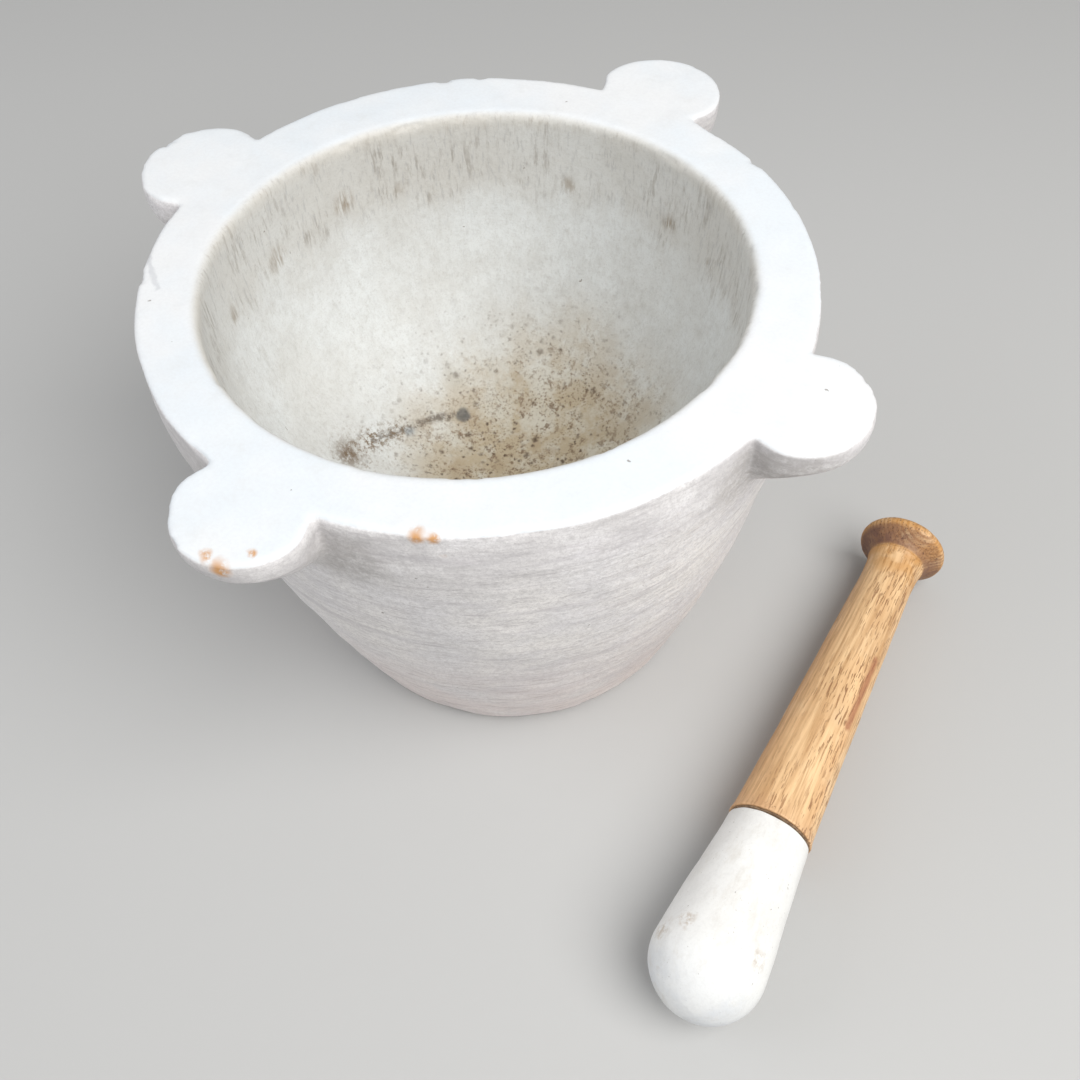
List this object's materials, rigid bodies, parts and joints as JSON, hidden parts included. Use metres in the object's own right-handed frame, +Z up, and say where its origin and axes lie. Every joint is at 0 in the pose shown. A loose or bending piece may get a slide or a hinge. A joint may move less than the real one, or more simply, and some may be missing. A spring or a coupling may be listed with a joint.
{
  "type": "mortar and pestle",
  "caption": "Carved marble mortar, a deep round bowl with lug handles on its flat rim, and a long pestle with a stone head and a turned wooden handle.",
  "frame": {"origin": "on the plane of the mortar's flat foot, directly below the centre of the bowl's mouth", "axes": "+Z up, out of the bowl; +X and +Y each point close to a lug; the pestle lies on the same ground on the +X side, with its knob towards +Y"},
  "size_m": [0.4572, 0.4044, 0.246],
  "materials": {
    "mortar_marble": "worn, unpolished white marble with grey tooling streaks",
    "pestle_stone": "smooth matte white stone, lightly stained",
    "cement": "dull brown resin cement",
    "handle_wood": "bare golden brown hardwood with open pores, worn smooth"
  },
  "bodies": {
    "mortar": {"mortar_bowl": "mortar_marble"},
    "pestle": {"pestle_head": "pestle_stone", "joint_cement": "cement", "pestle_handle": "handle_wood"}
  },
  "joints": [
    {"name": "pestle_lift", "type": "slide", "parent": "mortar", "child": "pestle", "axis": [0, 0, 1], "range_m": [0, 0.3]}
  ]
}
